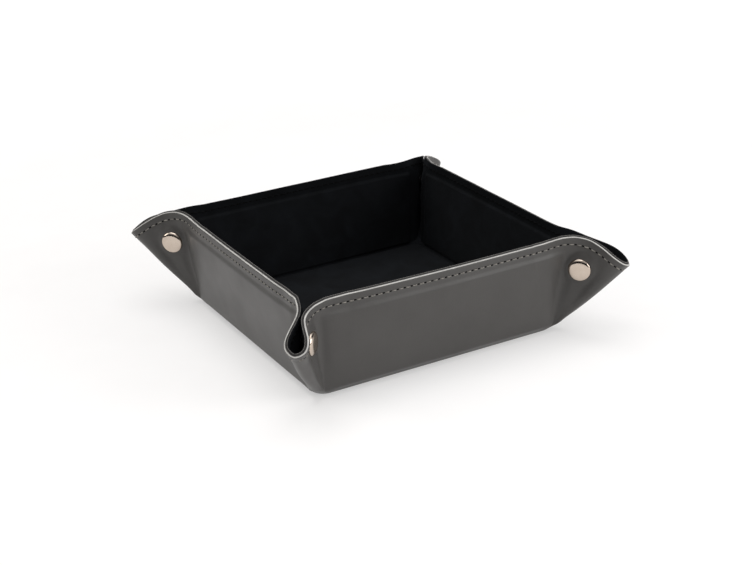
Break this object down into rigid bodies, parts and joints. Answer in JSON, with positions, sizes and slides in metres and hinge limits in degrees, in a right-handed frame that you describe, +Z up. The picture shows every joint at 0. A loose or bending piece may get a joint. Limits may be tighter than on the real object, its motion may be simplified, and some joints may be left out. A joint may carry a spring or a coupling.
{
  "type": "valet tray",
  "caption": "Square leather valet tray with a suede lining; each corner is pinched into an ear by a snap, and the walls fold out flat when the snaps are open.",
  "frame": {"origin": "centre of the flat underside, on the surface the tray rests on", "axes": "+Z up, out of the tray's mouth; -Y is the front wall, at the right in the picture; +X is towards its right end"},
  "size_m": [0.2194, 0.2194, 0.059],
  "materials": {
    "leather": "smooth coated leather, low sheen",
    "lining": "matt suede nap",
    "board": "pressed fibre board",
    "thread": "twisted thread",
    "snap": "polished nickel plate"
  },
  "bodies": {
    "base": {"base_leather": "leather", "base_lining": "lining", "base_board": "board"},
    "wall_front": {"wall_front_leather": "leather", "wall_front_lining": "lining", "wall_front_board": "board", "wall_front_stitching": "thread"},
    "wall_right": {"wall_right_leather": "leather", "wall_right_lining": "lining", "wall_right_board": "board", "wall_right_stitching": "thread"},
    "wall_back": {"wall_back_leather": "leather", "wall_back_lining": "lining", "wall_back_board": "board", "wall_back_stitching": "thread"},
    "wall_left": {"wall_left_leather": "leather", "wall_left_lining": "lining", "wall_left_board": "board", "wall_left_stitching": "thread"},
    "ear_front_left": {"ear_front_left_leather": "leather", "ear_front_left_lining": "lining", "snap_cap_front_left": "snap", "snap_socket_front_left": "snap"},
    "ear_front_right": {"ear_front_right_leather": "leather", "ear_front_right_lining": "lining", "snap_cap_front_right": "snap", "snap_socket_front_right": "snap"},
    "ear_right_front": {"ear_right_front_leather": "leather", "ear_right_front_lining": "lining", "snap_stud_front_right": "snap", "snap_post_front_right": "snap"},
    "ear_right_back": {"ear_right_back_leather": "leather", "ear_right_back_lining": "lining", "snap_cap_back_right": "snap", "snap_socket_back_right": "snap"},
    "ear_back_right": {"ear_back_right_leather": "leather", "ear_back_right_lining": "lining", "snap_stud_back_right": "snap", "snap_post_back_right": "snap"},
    "ear_back_left": {"ear_back_left_leather": "leather", "ear_back_left_lining": "lining", "snap_stud_back_left": "snap", "snap_post_back_left": "snap"},
    "ear_left_back": {"ear_left_back_leather": "leather", "ear_left_back_lining": "lining", "snap_cap_back_left": "snap", "snap_socket_back_left": "snap"},
    "ear_left_front": {"ear_left_front_leather": "leather", "ear_left_front_lining": "lining", "snap_stud_front_left": "snap", "snap_post_front_left": "snap"}
  },
  "joints": [
    {"name": "wall_front_fold", "type": "hinge", "parent": "base", "child": "wall_front", "pos_m": [0, -0.07875, 0], "axis": [1, 0, 0], "range_deg": [0, 85.5]},
    {"name": "wall_right_fold", "type": "hinge", "parent": "base", "child": "wall_right", "pos_m": [0.07875, 0, 0], "axis": [0, 1, 0], "range_deg": [0, 85.5]},
    {"name": "wall_back_fold", "type": "hinge", "parent": "base", "child": "wall_back", "pos_m": [0, 0.07875, 0], "axis": [-1, 0, 0], "range_deg": [0, 85.5]},
    {"name": "wall_left_fold", "type": "hinge", "parent": "base", "child": "wall_left", "pos_m": [-0.07875, 0, 0], "axis": [0, -1, 0], "range_deg": [0, 85.5]},
    {"name": "ear_front_left_fold", "type": "hinge", "parent": "wall_front", "child": "ear_front_left", "pos_m": [-0.07309, -0.07875, 0], "axis": [0.1088, 0.0038, -0.9941], "range_deg": [0, 45.32]},
    {"name": "ear_front_right_fold", "type": "hinge", "parent": "wall_front", "child": "ear_front_right", "pos_m": [0.07309, -0.07875, 0], "axis": [0.1088, -0.0038, 0.9941], "range_deg": [0, 45.32]},
    {"name": "ear_right_front_fold", "type": "hinge", "parent": "wall_right", "child": "ear_right_front", "pos_m": [0.07875, -0.07309, 0], "axis": [-0.0038, 0.1088, -0.9941], "range_deg": [0, 45.32]},
    {"name": "ear_right_back_fold", "type": "hinge", "parent": "wall_right", "child": "ear_right_back", "pos_m": [0.07875, 0.07309, 0], "axis": [0.0038, 0.1088, 0.9941], "range_deg": [0, 45.32]},
    {"name": "ear_back_right_fold", "type": "hinge", "parent": "wall_back", "child": "ear_back_right", "pos_m": [0.07309, 0.07875, 0], "axis": [-0.1088, -0.0038, -0.9941], "range_deg": [0, 45.32]},
    {"name": "ear_back_left_fold", "type": "hinge", "parent": "wall_back", "child": "ear_back_left", "pos_m": [-0.07309, 0.07875, 0], "axis": [-0.1088, 0.0038, 0.9941], "range_deg": [0, 45.32]},
    {"name": "ear_left_back_fold", "type": "hinge", "parent": "wall_left", "child": "ear_left_back", "pos_m": [-0.07875, 0.07309, 0], "axis": [0.0038, -0.1088, -0.9941], "range_deg": [0, 45.32]},
    {"name": "ear_left_front_fold", "type": "hinge", "parent": "wall_left", "child": "ear_left_front", "pos_m": [-0.07875, -0.07309, 0], "axis": [-0.0038, -0.1088, 0.9941], "range_deg": [0, 45.32]}
  ],
  "couplings": [
    {"joint": "wall_right_fold", "follows": "wall_front_fold", "ratio": 1},
    {"joint": "wall_back_fold", "follows": "wall_front_fold", "ratio": 1},
    {"joint": "wall_left_fold", "follows": "wall_front_fold", "ratio": 1},
    {"joint": "ear_front_left_fold", "follows": "wall_front_fold", "ratio": 0.52992},
    {"joint": "ear_front_right_fold", "follows": "wall_front_fold", "ratio": 0.52992},
    {"joint": "ear_right_front_fold", "follows": "wall_front_fold", "ratio": 0.52992},
    {"joint": "ear_right_back_fold", "follows": "wall_front_fold", "ratio": 0.52992},
    {"joint": "ear_back_right_fold", "follows": "wall_front_fold", "ratio": 0.52992},
    {"joint": "ear_back_left_fold", "follows": "wall_front_fold", "ratio": 0.52992},
    {"joint": "ear_left_back_fold", "follows": "wall_front_fold", "ratio": 0.52992},
    {"joint": "ear_left_front_fold", "follows": "wall_front_fold", "ratio": 0.52992}
  ]
}
